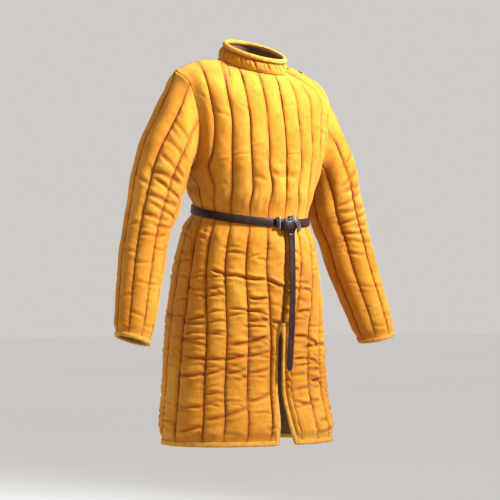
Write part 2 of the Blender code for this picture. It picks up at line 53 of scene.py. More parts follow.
SEAM_GAP = 0.0003  # between two pieces that are sewn together
TAPE = 0.0016  # thickness of the folded binding tape
HEM_TAPE = 0.010  # height of the tape on the hem and the cuffs
SLIT_TAPE = 0.011  # width of the tape along the riding slit
CHANNEL_WIDTH = 0.045  # of a common channel, for the width of a drawn line of stitching
SLEEVE_CHANNEL = 0.042  # width of a channel of the sleeve
COLUMN_SPACING = 0.0018  # between the columns of a front at the slit
ROW_SPACING = 0.0025  # between the rows of a grid, along a tape
CREASE_DEPTH = 1.6  # over the depths in the tables of creases
CREASE_WIDTH = 0.8  # over their half widths
SLEEVE_CREASES = 0.52  # depth of those of a sleeve to those of the body

# Sections of the body below the arms, from the hem up, for the inner surface:
# height at the side, half width, depth in front, depth behind, slope down to the front,
# fullness, and how far the stitched lines of the front lean to the slit
BODY = [
    (-0.945, 0.228, 0.146, 0.178, 0.00, 0.92, 0.145),  # hem
    (-0.885, 0.222, 0.134, 0.184, 0.00, 0.93, 0.145),  # low skirt
    (-0.815, 0.214, 0.117, 0.190, 0.00, 0.94, 0.145),  # thigh
    (-0.680, 0.201, 0.119, 0.197, 0.02, 0.95, 0.130),  # slit top
    (-0.590, 0.187, 0.130, 0.196, 0.04, 0.96, 0.060),  # hip
    (-0.500, 0.173, 0.134, 0.184, 0.10, 0.98, 0.010),  # seat
    (-0.430, 0.158, 0.135, 0.157, 0.16, 1.00, 0.000),  # under belt
    (-0.377, 0.145, 0.134, 0.128, 0.20, 1.00, 0.000),  # belt
    (-0.345, 0.148, 0.136, 0.136, 0.16, 1.00, 0.000),  # over belt
    (-0.310, 0.157, 0.139, 0.140, 0.08, 1.00, 0.040),  # ribs
]
HEM_LEVEL = -0.945
BELT_LEVEL = -0.377
SLIT_TOP = -0.655

# Body beside the armholes: share of the way up the armhole, then the centre front and the
# centre back (depth, height), the angle through which the section turns, and the lean again
CHEST = [
    (0.00, 0.140, -0.265, 0.132, -0.265, 84, 0.095),  # armpit
    (0.25, 0.139, -0.215, 0.136, -0.212, 70, 0.010),  # low chest
    (0.50, 0.130, -0.150, 0.132, -0.145, 60, 0.000),  # breast
    (0.75, 0.115, -0.085, 0.113, -0.070, 52, 0.000),  # upper chest
]
ARMPIT_LEVEL = -0.272
SHOULDER_LEVEL = -0.020

# Armhole: an upright oval
ARMHOLE_X = 0.2065
ARMHOLE_LEAN = 0.0165
ARMHOLE_Y = 0.010
ARMHOLE_Z = -0.153
ARMHOLE_HALF_DEPTH = 0.066
ARMHOLE_HALF_HEIGHT = 0.119

# Neckline: an oval ring that tips down to the front
NECK_HALF_WIDTH = 0.074
NECK_FRONT = 0.098
NECK_BACK = 0.078
NECK_HEIGHT = -0.002
NECK_SLOPE = 0.36
NECK_SHARE = 0.55  # of a front panel's top edge, the rest is the shoulder seam
SHOULDER_RISE = 0.014  # of the padded shoulder over the straight line
COLLAR_HEIGHT = 0.041
COLLAR_LEAN = 0.20  # of the height, inwards
COLLAR_ROWS = 16
COLLAR_ROUND = 0.52  # its length all round
COLLAR_RADIUS = 0.083
COLLAR_LINE = 0.70  # share of its height at which it is stitched through

# Belt and tabs
BELT_HEIGHT = 0.020
BELT_THICK = 0.0026
BELT_OFF = 0.0056  # of the belt from the inner surface of the body
KNOT_SIZE = (0.044, 0.014, 0.038)
KNOT_X = 0.006
TAIL_HALF_WIDTH = 0.009
TAIL_END = -0.765
TAB_HALF_WIDTH = 0.0055
TAB_THICK = 0.0022
STUD_RADIUS = 0.0035
STUD_HEIGHT = 0.002

# Rings of the sleeve: outer x and z, inner x and z, middle y, half depth, and the angle by
# which the front of the ring turns outwards
SLEEVE = [
    (0.238, -0.082, 0.2110, -0.289, 0.010, 0.067, 0),  # cap
    (0.266, -0.142, 0.2210, -0.314, 0.010, 0.067, 3),  # flare
    (0.308, -0.214, 0.2270, -0.346, 0.010, 0.065, 6),  # upper arm
    (0.330, -0.290, 0.2370, -0.382, 0.011, 0.061, 9),  # bend
    (0.356, -0.400, 0.2640, -0.438, 0.007, 0.056, 11),  # elbow
    (0.384, -0.505, 0.2880, -0.525, -0.006, 0.053, 11),  # forearm
    (0.408, -0.604, 0.3180, -0.618, -0.026, 0.049, 10),  # wrist
    (0.424, -0.675, 0.3460, -0.700, -0.041, 0.043, 8),  # cuff
]
SLEEVE_ROWS = 240

# Camera: the photograph's view
VIEW_AZIMUTH = radians(-38)
VIEW_DISTANCE = 5.0
VIEW_HEIGHT = -0.62
VIEW_TARGET = -0.466
VIEW_WIDTH = 1.25  # of the picture, at the garment
FLOOR_LEVEL = -1.30

# Light and colour
WORLD_STRENGTH = 0.62
KEY_POWER = 40
FILL_POWER = 12
CLOTH_LIGHT = (0.55, 0.252, 0.021)
CLOTH_DEEP = (0.45, 0.170, 0.008)
# darker tone of the slubs and weave, and also the painted shade of the valleys and crease dips
CLOTH_SHADE = (0.30, 0.072, 0.0025)
# dark line on the stitching: the stitches, and painted shade of their valley
THREAD_AND_VALLEY_SHADE = (0.140, 0.041, 0.007)
LEATHER_DARK = (0.014, 0.0052, 0.0048)
LEATHER_WORN = (0.029, 0.011, 0.0095)


def unit(v):
    return v / np.maximum(np.linalg.norm(v, axis=-1, keepdims=True), 1e-12)


def slopes(keys, points):
    """Slope of a smooth curve at each of its points."""
    out = np.zeros_like(points)
    for i in range(len(keys)):
        low, high = max(i - 1, 0), min(i + 1, len(keys) - 1)
        out[i] = (points[high] - points[low]) / (keys[high] - keys[low])
    return out


def smooth_curve(keys, points, before, after, t):
    """Points at the places t on a curve; before and after are its slopes beside each point."""
    keys, t = np.asarray(keys), np.asarray(t)
    i = np.clip(np.searchsorted(keys, t) - 1, 0, len(keys) - 2)
    span = keys[i + 1] - keys[i]
    shape = (-1,) + (1,) * (points.ndim - 1)
    u = ((t - keys[i]) / span).reshape(shape)
    span = span.reshape(shape)
    return ((2 * u**3 - 3 * u**2 + 1) * points[i] + (u**3 - 2 * u**2 + u) * span * after[i]
            + (3 * u**2 - 2 * u**3) * points[i + 1] + (u**3 - u**2) * span * before[i + 1])


def armhole_point(share, front):
    """Point on the armhole, from its bottom at 0 to the shoulder at 1."""
    angle = pi * (1 - share)
    way = -1 if front else 1
    return np.array([ARMHOLE_X + ARMHOLE_LEAN * cos(angle) - (0.005 if front else 0.002) * sin(angle),
                     ARMHOLE_Y + way * ARMHOLE_HALF_DEPTH * sin(angle),
                     ARMHOLE_Z + ARMHOLE_HALF_HEIGHT * cos(angle)])


def neck_point(angle):
    """Point on the neckline, from the centre front at 0 to the centre back at pi."""
    depth = NECK_FRONT if angle < pi / 2 else NECK_BACK
    y = -depth * cos(angle)
    return np.array([NECK_HALF_WIDTH * sin(angle), y, NECK_HEIGHT + NECK_SLOPE * y])


def slit_half_gap(level):
    """Half the opening of the riding slit at a level."""
    return np.interp(level, [HEM_LEVEL, -0.90, -0.84, -0.685, SLIT_TOP], [0.027, 0.016, 0.010, 0.0085, 0])


def section_points(s, front):
    """The points where one lengthwise line of a panel crosses each section."""
    way = -1 if front else 1
    keys, points = [], []
    for level, half_width, in_front, behind, slope, fullness, lean in BODY:
        share = s
        if front:
            gap = slit_half_gap(level) / (half_width * pi / 2)
            share = s - lean * min(5 * s, 1) * min(5 * (1 - s), 1)
            share = gap + (1 - gap) * share
        turn = share * pi / 2
        y = way * (in_front if front else behind) * max(cos(turn), 0.0) ** fullness
        x = half_width * sin(turn) ** fullness
        keys.append(level)
        points.append([x, y, level + slope * y])
    for share, y_front, z_front, y_back, z_back, turn, lean in CHEST:
        edge = armhole_point(share, front)
        angle = radians(turn)
        y_centre, z_centre = (-y_front, z_front) if front else (y_back, z_back)
        shift = lean if front else 0.75 * lean
        turned = (s - shift * sin(pi * s**1.5)) * angle
        arc = (cos(turned) - cos(angle)) / (1 - cos(angle))
        keys.append(ARMPIT_LEVEL + share * (SHOULDER_LEVEL - ARMPIT_LEVEL))
        points.append([edge[0] * sin(turned) / sin(angle),
                       edge[1] + (y_centre - edge[1]) * arc,
                       z_centre + (edge[2] - z_centre) * s**2])
    if s < NECK_SHARE:
        angle = pi / 2 * s / NECK_SHARE
        top = neck_point(angle if front else pi - angle)
    else:
        u = (s - NECK_SHARE) / (1 - NECK_SHARE)
        top = neck_point(pi / 2) * (1 - u) + armhole_point(1, front) * u
        top[2] += SHOULDER_RISE * sin(pi * u)
    keys.append(SHOULDER_LEVEL)
    points.append(top)
    return np.array(keys), np.array(points)


def body_line(s, front, levels):
    """One lengthwise line of a body panel, with a corner where the armhole starts."""
    keys, points = section_points(s, front)
    before = slopes(keys, points)
    after = before.copy()
    k = len(BODY)
    corner = s**4
    one_below = (points[k] - points[k - 1]) / (keys[k] - keys[k - 1])
    one_above = (points[k + 1] - points[k]) / (keys[k + 1] - keys[k])
    before[k] = before[k] * (1 - corner) + one_below * corner
    after[k] = after[k] * (1 - corner) + one_above * corner
    line = smooth_curve(keys, points, before, after, levels)
    if front and s == 0:
        line[:, 0] = slit_half_gap(levels)
    return line


def grid_normals(grid, outward, ring=False):
    """Unit normals of a grid of points, turned to the side that outward(point) faces."""
    if ring:
        across = np.roll(grid, -1, 1) - np.roll(grid, 1, 1)
    else:
        across = np.gradient(grid, axis=1)
    along = np.gradient(grid, axis=0)
    normal = unit(np.cross(across, along))
    flip = np.sum(normal * outward, axis=-1) < 0
    normal[flip] *= -1
    return normal


# Grids: rows from the hem up, then one row for each facet round the armhole
ARMPIT_ROW = 260
HALF_RING = SLEEVE_CHANNELS * SLEEVE_STEPS // 2
LEVELS = np.concatenate([np.linspace(HEM_LEVEL, ARMPIT_LEVEL, ARMPIT_ROW, endpoint=False),
                         np.linspace(ARMPIT_LEVEL, SHOULDER_LEVEL, HALF_RING + 1)])
SLIT_ROW = int(np.argmin(abs(LEVELS - SLIT_TOP)))
COLUMNS = np.linspace(0, 1, FRONT_CHANNELS * STEPS + 1)
NECK_COLUMN = int(round(NECK_SHARE * FRONT_CHANNELS * STEPS))


def fade(distance, reach):
    """Soft step from 0 at no distance to 1 at the reach."""
    u = np.clip(distance / reach, 0, 1)
    return u * u * (3 - 2 * u)


def mirrored(points):
    return points * np.array([-1, 1, 1])


def sleeve_grid(front_edge, back_edge):
    """Grid of a sleeve; its first ring is the armhole, from the shoulder round by the front."""
    first = np.concatenate([front_edge[::-1], back_edge[1:-1]])
    angles = 2 * pi * np.arange(len(first))[:, None] / len(first)
    rings = [first]
    for out_x, out_z, in_x, in_z, y, half_depth, turn in SLEEVE:
        middle = np.array([(out_x + in_x) / 2, y, (out_z + in_z) / 2])
        reach = np.array([(out_x - in_x) / 2, 0, (out_z - in_z) / 2])
        depth = half_depth * np.array([sin(radians(turn)), -cos(radians(turn)), 0])
        rings.append(middle + reach * np.cos(angles) + depth * np.sin(angles))
    rings = np.array(rings)
    middles = rings.mean(axis=1)
    keys = np.concatenate([[0], np.cumsum(np.linalg.norm(np.diff(middles, axis=0), axis=1))])
    slope = slopes(keys, rings)
    rows = np.linspace(0, keys[-1], SLEEVE_ROWS + 1)
    grid = smooth_curve(keys, rings, slope, slope, rows)
    return grid, rows, grid.mean(axis=1)


def pull_in(grid, ring=False):
    """Draws the edges of a piece in by half the gap that a seam keeps."""
    out = grid.copy()
    out[0] += unit(grid[1] - grid[0]) * SEAM_GAP / 2
    out[-1] += unit(grid[-2] - grid[-1]) * SEAM_GAP / 2
    if not ring:
        out[:, 0] += unit(grid[:, 1] - grid[:, 0]) * SEAM_GAP / 2
        out[:, -1] += unit(grid[:, -2] - grid[:, -1]) * SEAM_GAP / 2
    return out


# Creases placed after the photograph, on the wearer's right and left front: from channel
# and level, to channel and level, half width, depth. Channels are in hundredths, levels in
# millimetres, the last two in tenths of a millimetre.
SKIRT_RIGHT = [
    (365, -515, 245, -526, 50, 42), (245, -526, 100, -532, 50, 40), (100, -532,   5, -552, 50, 40),
    (385, -557, 305, -557, 45, 22), (195, -582, 110, -582, 50, 26), (490, -641, 405, -629, 50, 30),
    (200, -638, 115, -638, 50, 28), ( 90, -640,   5, -640, 45, 26), (500, -646, 405, -648, 50, 26),
    (285, -700, 110, -675, 60, 36), (500, -727, 200, -727, 55, 30), (200, -727, 110, -715, 50, 28),
    (500, -772, 305, -760, 50, 28), (295, -769, 210, -760, 50, 26), (200, -769, 105, -757, 50, 28),
    (200, -841, 110, -823, 55, 32), (490, -851, 405, -851, 50, 24), (390, -883, 200, -853, 55, 32),
    (480, -910, 400, -895, 50, 26), (485, -928, 445, -920, 50, 34), ( 95, -283,  10, -290, 50, 14),
]
SKIRT_LEFT = [
    ( 10, -557, 110, -560, 55, 30), (110, -557, 200, -567, 50, 26), ( 10, -600,  90, -596, 55, 30),
    (105, -616, 200, -616, 50, 28), (105, -678, 230, -688, 55, 32), (150, -710, 400, -706, 55, 28),
    (105, -735, 280, -747, 55, 30), ( 20, -787, 100, -797, 50, 24), (220, -793, 300, -799, 50, 26),
    (120, -814, 200, -809, 50, 26), ( 95, -841, 160, -853, 50, 28), (160, -853, 260, -843, 50, 28),
    (160, -932, 420, -916, 55, 30), ( 10, -290,  95, -286, 50, 12),
]
# Creases of a sleeve in the same units, with the distance down the sleeve in place of the level;
# channel 0 is the outer line and channel 2 the front
ARM_CREASES = [
    (100,   85, 210,   60, 50, 22), (100,  120, 230,   92, 55, 32), (110,  150, 260,  128, 55, 38),
    ( 90,  186, 250,  150, 60, 42), (120,  196, 290,  178, 55, 36), (100,  232, 280,  204, 60, 42),
    (130,  246, 310,  232, 50, 34), (100,  270, 240,  262, 55, 36), (160,  290, 320,  262, 55, 36),
    ( 20,  200,  95,  214, 55, 22), ( 10,  300, 100,  290, 50, 22), (100,  318, 260,  300, 55, 30),
    (200,  345, 320,  322, 50, 26), ( 10,  352, 100,  362, 50, 18), (100,  385, 195,  376, 50, 20),
    (100,  430, 290,  424, 50, 20), (  0,  470, 100,  462, 50, 18), (100,  505, 200,  512, 50, 20),
    (200,  535, 300,  528, 50, 18),
]


def ripples(x, y, size_x, size_y, rng, waves=7):
    """Smooth uneven relief between about -1 and 1; sizes are of its swells."""
    total = np.zeros(np.broadcast(x, y).shape)
    for _ in range(waves):
        a, b = rng.uniform(0.5, 1.5, 2) * rng.choice([-1, 1], 2)
        total = total + np.sin(2 * pi * (a * x / size_x + b * y / size_y) + rng.uniform(0, 2 * pi))
    return total / np.sqrt(waves * 1.5)


def placed(table):
    """Rows of a table of creases, in channels and metres."""
    return [(q0 / 100, a0 / 1000, q1 / 100, a1 / 1000, half_width / 10000, depth / 10000)
            for q0, a0, q1, a1, half_width, depth in table]


def crease(q, along, row, channel_width):
    """One crease, a dip with a low ridge on each side, from one end to the other, and its share of
    painted shade.
    """
    q0, a0, q1, a1, half_width, depth = row
    half_width = half_width * CREASE_WIDTH
    x, y = (q - q0) * channel_width, along - a0
    way = np.array([(q1 - q0) * channel_width, a1 - a0])
    length = max(float(np.hypot(*way)), 1e-6)
    way = way / length
    run = x * way[0] + y * way[1]
    bow = 0.06 * length * np.sin(pi * np.clip(run / length, 0, 1))
    off = -x * way[1] + y * way[0] - bow
    ends = np.clip(np.minimum(run, length - run) / (0.30 * length) + 0.35, 0, 1)
    ends = ends * ends * (3 - 2 * ends)
    trough_and_painted_shade = np.exp(-(off / half_width) ** 2)
    ridge = np.exp(-((np.abs(off) - 2.3 * half_width) / (1.3 * half_width)) ** 2)
    height = CREASE_DEPTH * depth * ends * (0.45 * ridge - trough_and_painted_shade)
    # second row: the painted shade that the cloth colour gets in this dip, from its depth
    return np.stack([height, np.minimum(depth / 0.003, 1.3) * ends * trough_and_painted_shade])


def loose_creases(rng, count, channels, places, depth):
    """Small creases where no single one is picked out, as uneven as their neighbours."""
    rows = []
    for _ in range(count):
        start = rng.uniform(*channels)
        start = np.floor(start) + rng.choice([0.0, 0.0, 0.25])
        reach = rng.choice([0.55, 0.8, 1.0, 1.0, 1.9])
        place = rng.uniform(*places)
        tilt = rng.normal(0, 0.009)
        rows.append((start, place, start + reach, place + tilt, rng.uniform(0.0035, 0.0060),
                     depth * rng.uniform(0.4, 1.0)))
    return rows


def channel_rise(q):
    """0 on a line of stitching, 1 in the middle of a channel; q counts channels."""
    return np.abs(np.sin(pi * q)) ** 0.48


def line_puckers(q, along, rng, channel_width):
    """Short dents that the stitching pulls into the padding beside it."""
    beside = np.abs((q + 0.5) % 1 - 0.5) * channel_width
    near = np.exp(-((beside - 0.004) / 0.006) ** 2)
    pace = along + 0.010 * ripples(q * 0, along, 1, 0.09, rng, 3) + 0.004 * np.round(q)
    return near * (0.55 * np.sin(2 * pi * pace / 0.017) + 0.45 * np.sin(2 * pi * pace / 0.029 + 2 * q))


def body_thickness(front, table, seed):
    """Thickness of a body wall: padding in channels, unevenness, puckers and creases."""
    rng = np.random.default_rng(seed)
    q = np.broadcast_to(COLUMNS * FRONT_CHANNELS, (len(LEVELS), len(COLUMNS)))
    along = np.broadcast_to(LEVELS[:, None], q.shape)
    rise = channel_rise(q)
    if front:
        flat = fade(SLIT_TOP + 0.016 - along, 0.016)
        beside_tape = np.where(q < 1, channel_rise(np.clip((q - 0.31) / 0.69, 0, 1)), rise)
        rise = rise + flat * (beside_tape - rise)
    belt = 0.10 + 0.90 * fade(np.abs(along - BELT_LEVEL) - 0.012, 0.045)
    hem = fade(along - HEM_LEVEL - HEM_TAPE - 0.002, 0.022)
    top = fade(SHOULDER_LEVEL - along, 0.035)
    near = fade(1 - COLUMNS, 0.20)[None, :]
    under_arm = fade(ARMPIT_LEVEL - 0.025 - along, 0.035)
    side = np.maximum(near, under_arm)
    swell = 1 + 0.13 * ripples(q, along, 2.2, 0.11, rng) + 0.05 * ripples(q, along, 0.9, 0.035, rng)
    skirt = np.clip((BELT_LEVEL - along) / 0.10, 0, 1)
    chest_rows = loose_creases(rng, 12, (0, 5), (-0.32, -0.06), 0.0009)
    skirt_rows = loose_creases(rng, 64, (0, 5), (-0.93, -0.42), 0.0021)
    rows = placed(table) + chest_rows + skirt_rows
    folds, trough_and_painted_shade = sum(crease(q, along, row, CHANNEL_WIDTH) for row in rows)
    gather = np.exp(-((np.abs(along - BELT_LEVEL) - 0.030) / 0.022) ** 2)
    gather = gather * ripples(q, along, 0.55, 0.30, rng) * 0.0013
    pucker = line_puckers(q, along, rng, CHANNEL_WIDTH) * (0.00035 + 0.00050 * skirt)
    cover = belt * hem * top * side
    relief = (PADDED - STITCHED) * rise * swell + rise**0.3 * folds + pucker + gather
    if front:
        relief = relief * (1 - 0.9 * flat * (q < 0.31))
    # the second value is painted shade for the crease dips, carried to the cloth colour
    return STITCHED + np.maximum(relief * cover, -0.25 * STITCHED), trough_and_painted_shade * cover


def sleeve_thickness(along, count, seed):
    """Thickness of a sleeve wall on its rings."""
    rng = np.random.default_rng(seed)
    q = np.broadcast_to(np.arange(count) / SLEEVE_STEPS, (len(along), count))
    down = np.broadcast_to(along[:, None], q.shape)
    length = along[-1]
    rise = channel_rise(q)
    ends = fade(down - 0.010, 0.060)
    ends = ends * fade(length - HEM_TAPE - 0.002 - down, 0.022)
    swell = 1 + 0.12 * ripples(np.cos(2 * pi * q / 8), down, 1.4, 0.10, rng)
    rows = placed(ARM_CREASES) + loose_creases(rng, 40, (0, 7), (0.05, 0.58), 0.0013)
    folds, trough_and_painted_shade = sum(crease(q, down, row, SLEEVE_CHANNEL) for row in rows)
    taper = 1 - 0.50 * fade(down - 0.28, 0.30)
    pucker = line_puckers(q, down, rng, SLEEVE_CHANNEL) * 0.0008
    relief = (PADDED - STITCHED) * rise * swell * taper + rise**0.3 * folds * SLEEVE_CREASES + pucker
    # the second value is painted shade for the crease dips, carried to the cloth colour
    return STITCHED + np.maximum(relief * ends, -0.2 * STITCHED), 0.8 * trough_and_painted_shade * ends


def add_object(name, data):
    obj = bpy.data.objects.new(name, data)
    bpy.context.scene.collection.objects.link(obj)
    return obj


def add_mesh(name, verts, faces, looks, face_looks, corner_uv=None, corner_painted_shade=None):
    """Adds a smooth object; corner_uv holds one pair for each corner of each face."""
    mesh = bpy.data.meshes.new(name)
    mesh.from_pydata(np.asarray(verts, float).tolist(), [], [list(map(int, f)) for f in faces])
    for look in looks:
        mesh.materials.append(look)
    layer = mesh.uv_layers.new(name="quilt")
    if corner_uv is not None:
        layer.data.foreach_set("uv", np.asarray(corner_uv, np.float32).ravel())
    # second UV map: painted shade of the crease dips, for the cloth colour
    if corner_painted_shade is not None:
        folds = mesh.uv_layers.new(name="fold")
        folds.data.foreach_set("uv", np.asarray(corner_painted_shade, np.float32).ravel())
    mesh.polygons.foreach_set("material_index", np.asarray(face_looks, np.int32))
    mesh.shade_smooth()
    shape = bmesh.new()
    shape.from_mesh(mesh)
    bmesh.ops.recalc_face_normals(shape, faces=shape.faces)
    shape.to_mesh(mesh)
    shape.free()
    return add_object(name, mesh)


def cells(rows, cols, ring):
    """Row and column of the four corners of each cell of a grid."""
    r, c = np.meshgrid(np.arange(rows - 1), np.arange(cols if ring else cols - 1), indexing="ij")
    corner_rows = np.stack([r, r, r + 1, r + 1], -1).reshape(-1, 4)
    corner_cols = np.stack([c, c + 1, c + 1, c], -1).reshape(-1, 4)
    return corner_rows, corner_cols


def rim_fans(outer_ids, inner_ids):
    """Triangles between an outer edge and an inner edge that has one point in four."""
    faces = []
    for k in range(len(inner_ids) - 1):
        o = outer_ids[INNER_STEP * k:INNER_STEP * k + INNER_STEP + 1]
        a, b = inner_ids[k], inner_ids[k + 1]
        faces += [(o[0], a, o[1]), (o[1], a, o[2]), (o[2], a, b), (o[2], b, o[3]), (o[3], b, o[4])]
    return faces


def wall(name, base, normal, relief, q, along, looks, ring=False, sideways=False):
    """A closed wall: fine outer grid, plain inner grid of every fourth point, and rims.

    Returns the object, its outer and inner surface, the normals and the thickness.
    """
    thickness, trough_and_painted_shade = relief
    base = pull_in(base, ring)
    outer = base + normal * thickness[..., None]
    rows, cols = outer.shape[:2]
    inner = base[::INNER_STEP, ::INNER_STEP]
    in_rows, in_cols = inner.shape[:2]
    start = rows * cols
    r, c = cells(rows, cols, ring)
    faces = (r * cols + c % cols).tolist()
    pace = q[1] - q[0]
    corner_uv = np.stack([q[0] + c * pace, along[r]], -1).reshape(-1, 2)
    # painted shade of the crease dips, one value for each corner of the outer faces
    corner_painted_shade = np.zeros((len(faces) * 4, 2))
    corner_painted_shade[:, 0] = trough_and_painted_shade[r, c % cols].reshape(-1)
    r, c = cells(in_rows, in_cols, ring)
    faces += (start + r * in_cols + c % in_cols)[:, ::-1].tolist()
    in_uv = np.stack([q[0] + c * INNER_STEP * pace, along[r * INNER_STEP]], -1)[:, ::-1]
    corner_uv = np.concatenate([corner_uv, in_uv.reshape(-1, 2)])
    outer_id = np.arange(rows * cols).reshape(rows, cols)
    inner_id = start + np.arange(in_rows * in_cols).reshape(in_rows, in_cols)
    if ring:
        outer_id = np.concatenate([outer_id, outer_id[:, :1]], axis=1)
        inner_id = np.concatenate([inner_id, inner_id[:, :1]], axis=1)
    fans = rim_fans(outer_id[0], inner_id[0]) + rim_fans(outer_id[-1], inner_id[-1])
    if not ring:
        fans += rim_fans(outer_id[:, 0], inner_id[:, 0]) + rim_fans(outer_id[:, -1], inner_id[:, -1])
    corner_uv = np.concatenate([corner_uv, np.full((3 * len(fans), 2), 0.5)])
    if sideways:
        corner_uv = corner_uv[:, ::-1]
    corner_painted_shade = np.concatenate([corner_painted_shade, np.zeros((len(corner_uv) - len(corner_painted_shade), 2))])
    face_looks = [0] * len(cells(rows, cols, ring)[0])
    # look 1, dark painted shade, goes on the inner faces
    face_looks += [1] * (len(faces) - len(face_looks)) + [0] * len(fans)
    verts = np.concatenate([outer.reshape(-1, 3), inner.reshape(-1, 3)])
    obj = add_mesh(name, verts, faces + fans, looks, face_looks, corner_uv, corner_painted_shade)
    return obj, outer, base, normal, thickness


def collar_grid(base):
    up = unit(np.array([0.0, -NECK_SLOPE, 1.0]))
    centre = np.array([0, (NECK_BACK - NECK_FRONT) / 2, NECK_HEIGHT])
    towards = (centre - base) * np.array([1, 1, 0])
    share = np.linspace(0, 1, COLLAR_ROWS + 1)[:, None, None]
    grid = base + up * COLLAR_HEIGHT * share + unit(towards) * COLLAR_HEIGHT * COLLAR_LEAN * share
    return grid, grid_normals(grid, np.broadcast_to(-towards, grid.shape), ring=True)


def build_grids():
    """Inner surfaces and normals; pieces that meet share the normals of their seam."""
    flat = np.array([1.0, 1.0, 0.0])
    lift = np.array([0, 0, 0.04])
    front, back = (np.stack([body_line(s, in_front, LEVELS) for s in COLUMNS], axis=1)
                   for in_front in (True, False))
    front_normal, back_normal = (grid_normals(grid, grid * flat + lift) for grid in (front, back))
    sleeve, along, middles = sleeve_grid(front[ARMPIT_ROW:, -1], back[ARMPIT_ROW:, -1])
    sleeve_normal = grid_normals(sleeve, sleeve - middles[:, None, :], ring=True)
    quarter = np.linspace(0, pi / 2, NECK_COLUMN + 1)
    half = np.concatenate([quarter, pi - quarter[:-1][::-1]])
    ring = np.concatenate([half, 2 * pi - half[1:-1][::-1]])
    base = np.array([neck_point(a) if a <= pi else mirrored(neck_point(2 * pi - a)) for a in ring])
    collar, collar_normal = collar_grid(base)

    for place in ((slice(0, ARMPIT_ROW + 1), -1), (-1, slice(NECK_COLUMN, None))):
        both = unit(front_normal[place] + back_normal[place])
        front_normal[place] = both
        back_normal[place] = both
    front_normal[SLIT_ROW:, 0, 0] = 0
    back_normal[:, 0, 0] = 0
    front_normal[:, 0] = unit(front_normal[:, 0])
    back_normal[:, 0] = unit(back_normal[:, 0])

    edge = np.concatenate([front_normal[ARMPIT_ROW:, -1][::-1], back_normal[ARMPIT_ROW + 1:-1, -1]])
    joint = unit(edge + sleeve_normal[0])
    sleeve_normal[0] = joint
    front_normal[ARMPIT_ROW:, -1] = joint[:HALF_RING + 1][::-1]
    back_normal[ARMPIT_ROW:, -1] = np.concatenate([joint[HALF_RING:], joint[:1]])

    top = np.concatenate([front_normal[-1, :NECK_COLUMN + 1], back_normal[-1, :NECK_COLUMN][::-1]])
    whole = np.concatenate([top, mirrored(top[1:-1][::-1])])
    joint = unit(whole + collar_normal[0])
    collar_normal[0] = joint
    front_normal[-1, :NECK_COLUMN + 1] = joint[:NECK_COLUMN + 1]
    back_normal[-1, :NECK_COLUMN + 1] = joint[NECK_COLUMN:2 * NECK_COLUMN + 1][::-1]
    grids = {"front": (front, front_normal), "back": (back, back_normal),
             "sleeve": (sleeve, sleeve_normal), "collar": (collar, collar_normal)}
    return grids, along


def build_panels(grids, looks):
    """Two fronts and the back."""
    q = COLUMNS * FRONT_CHANNELS
    made = {}
    for name, sign, table, seed in (("front_right", -1, SKIRT_RIGHT, 11),
                                    ("front_left", 1, SKIRT_LEFT, 12)):
        grid, normal = (part * np.array([sign, 1, 1]) for part in grids["front"])
        made[name] = wall(name, grid, normal, body_thickness(True, table, seed), q, LEVELS, looks)
    halves = [body_thickness(False, [], seed) for seed in (13, 14)]
    grid, normal = (np.concatenate([mirrored(part[:, ::-1]), part[:, 1:]], axis=1)
                    for part in grids["back"])
    relief = [np.concatenate([a[:, ::-1], b[:, 1:]], axis=1) for a, b in zip(*halves)]
    q = np.concatenate([-q[::-1], q[1:]]) + FRONT_CHANNELS
    made["back"] = wall("back", grid, normal, relief, q, LEVELS, looks)
    return made


def build_sleeves(grids, along, looks):
    """Both sleeves, from the grid of the left one."""
    made = {}
    count = grids["sleeve"][0].shape[1]
    q = np.arange(count) / SLEEVE_STEPS
    for name, sign, seed in (("sleeve_right", -1, 21), ("sleeve_left", 1, 22)):
        grid, normal = (part * np.array([sign, 1, 1]) for part in grids["sleeve"])
        relief = sleeve_thickness(along, count, seed)
        made[name] = wall(name, grid, normal, relief, q, along, looks, ring=True)
    return made


def build_collar(grids, looks):
    """Standing collar, gathered a little under the line of stitching near its top."""
    rng = np.random.default_rng(31)
    grid, normal = grids["collar"]
    count = grid.shape[1]
    share = np.linspace(0, 1, COLLAR_ROWS + 1)[:, None]
    around = np.linspace(0, 2 * pi, count, endpoint=False)
    band = np.where(share < COLLAR_LINE, np.sin(pi * share / COLLAR_LINE),
                    np.sin(pi * (share - COLLAR_LINE) / (1 - COLLAR_LINE)) * 0.5)
    rise = np.maximum(band, 0) ** 0.7
    slant = 0.020 * (share - 0.4)
    turned = around + slant / COLLAR_RADIUS
    gathers = sum(np.sin(turned * round(COLLAR_ROUND / size) + rng.uniform(0, 6))
                  for size in (0.011, 0.017, 0.029)) / 3
    near = np.exp(-((share - COLLAR_LINE + 0.20) / 0.20) ** 2)
    thickness = STITCHED + 0.0046 * rise * (1 + 0.10 * gathers) + 0.0022 * near * gathers
    height = 1 + (share[:, 0] - COLLAR_LINE) * COLLAR_HEIGHT / CHANNEL_WIDTH
    q = np.arange(count) * COLLAR_ROUND / count
    # painted shade in the dips between the gathers
    trough_and_painted_shade = np.clip(near * -gathers * 1.6, 0, 1)
    return {"collar": wall("collar", grid, normal, (thickness, trough_and_painted_shade), q, height, looks, ring=True,
                           sideways=True)}


def sweep(name, bodies, looks, rings=False):
    """One object from closed bodies, each given as equal closed sections along it.

    The last look is for the last body, the first one for all others.
    """
    verts, faces, face_looks = [], [], []
    for sections in bodies:
        count, sides = sections.shape[:2]
        start = len(verts)
        verts += list(sections.reshape(-1, 3))
        r, c = cells(count + rings, sides, True)
        faces += (start + r % count * sides + c % sides).tolist()
        if not rings:
            first = list(range(start, start + sides))
            faces += [first, [k + (count - 1) * sides for k in reversed(first)]]
        look = len(looks) - 1 if sections is bodies[-1] else 0
        face_looks += [look] * (len(faces) - len(face_looks))
    return add_mesh(name, verts, faces, looks, face_looks)


